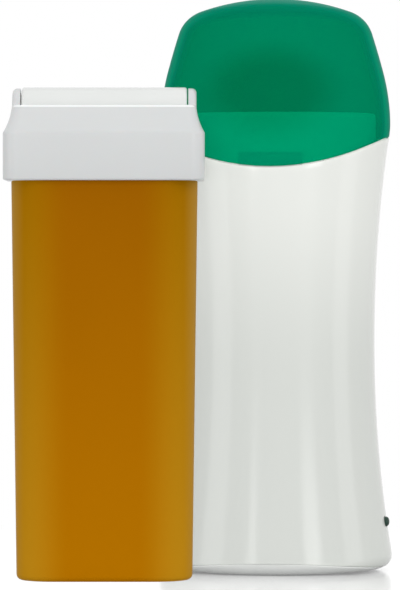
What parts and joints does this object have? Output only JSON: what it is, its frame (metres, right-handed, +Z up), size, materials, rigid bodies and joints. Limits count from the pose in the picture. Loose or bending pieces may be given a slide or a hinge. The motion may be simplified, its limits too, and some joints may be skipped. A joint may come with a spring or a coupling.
{
  "type": "roll-on wax heater",
  "caption": "Upright oval wax heater with a waisted white body, a translucent green lift-off cap and a roll-on wax cartridge standing beside it.",
  "frame": {"origin": "middle of the heater's foot pad, in the plane of the table", "axes": "+Z up the heater, +X to the heater's right with the push button, front towards -Y"},
  "size_m": [0.11, 0.0853, 0.1678],
  "materials": {
    "shell_white": "glossy moulded ABS",
    "collar_white": "satin moulded heat-resistant nylon",
    "cap_green": "glossy translucent tinted plastic",
    "button_green": "glossy moulded ABS",
    "pad_rubber": "matt silicone rubber",
    "screw_steel": "zinc-plated",
    "liner_aluminium": "drawn, satin",
    "plate_aluminium": "extruded",
    "ptc_ceramic": "fired barium titanate with silvered faces",
    "mica": "laminated mica",
    "clip_steel": "spring steel strip",
    "sensor_black": "moulded nylon",
    "fuse_metal": "drawn can",
    "board_green": "glass-epoxy laminate with solder mask",
    "capacitor_red": "dipped epoxy",
    "fuse_glass": "glass tube",
    "led_clear": "clear epoxy",
    "inlet_black": "moulded nylon",
    "pin_brass": "nickel-plated brass",
    "lead_brown": "silicone insulation",
    "lead_blue": "silicone insulation",
    "container_amber": "tinted polypropylene, filled",
    "wax_honey": "set honey-coloured wax",
    "head_white": "glossy moulded polypropylene",
    "roller_white": "glossy moulded polypropylene"
  },
  "bodies": {
    "heater": {"front_shell": "shell_white", "rear_shell": "shell_white", "base_cover": "shell_white", "foot_pad": "pad_rubber", "base_screws": "screw_steel", "mouth_collar": "collar_white", "chamber_liner": "liner_aluminium", "heating_plate": "plate_aluminium", "ptc_element": "ptc_ceramic", "mica_sheet": "mica", "plate_clip": "clip_steel", "clip_screws": "screw_steel", "thermostat": "sensor_black", "thermal_fuse": "fuse_metal", "circuit_board": "board_green", "board_screws": "screw_steel", "film_capacitor": "capacitor_red", "board_fuse": "fuse_glass", "power_switch": "sensor_black", "pilot_led": "led_clear", "inlet_socket": "inlet_black", "inlet_pins": "pin_brass", "live_lead": "lead_brown", "neutral_lead": "lead_blue"},
    "cap": {"cap": "cap_green"},
    "button": {"power_button": "button_green", "switch_plunger": "sensor_black"},
    "cartridge": {"cartridge_container": "container_amber", "wax_fill": "wax_honey", "cartridge_head": "head_white", "metering_gate": "head_white", "roller_axle": "screw_steel"},
    "roller": {"roller": "roller_white"}
  },
  "joints": [
    {"name": "cap_lift", "type": "slide", "parent": "heater", "child": "cap", "axis": [0, 0, 1], "range_m": [0, 0.05]},
    {"name": "button_press", "type": "slide", "parent": "heater", "child": "button", "axis": [-1, 0, 0], "range_m": [0, 0.0008], "stiffness_N_per_m": 800},
    {"name": "cartridge_lift", "type": "slide", "parent": "heater", "child": "cartridge", "axis": [0, 0, 1], "range_m": [0, 0.114]},
    {"name": "roller_spin", "type": "hinge", "parent": "cartridge", "child": "roller", "pos_m": [-0.0462, -0.0402, 0.1329], "axis": [0.9963, 0.0854, 0], "continuous": true}
  ]
}
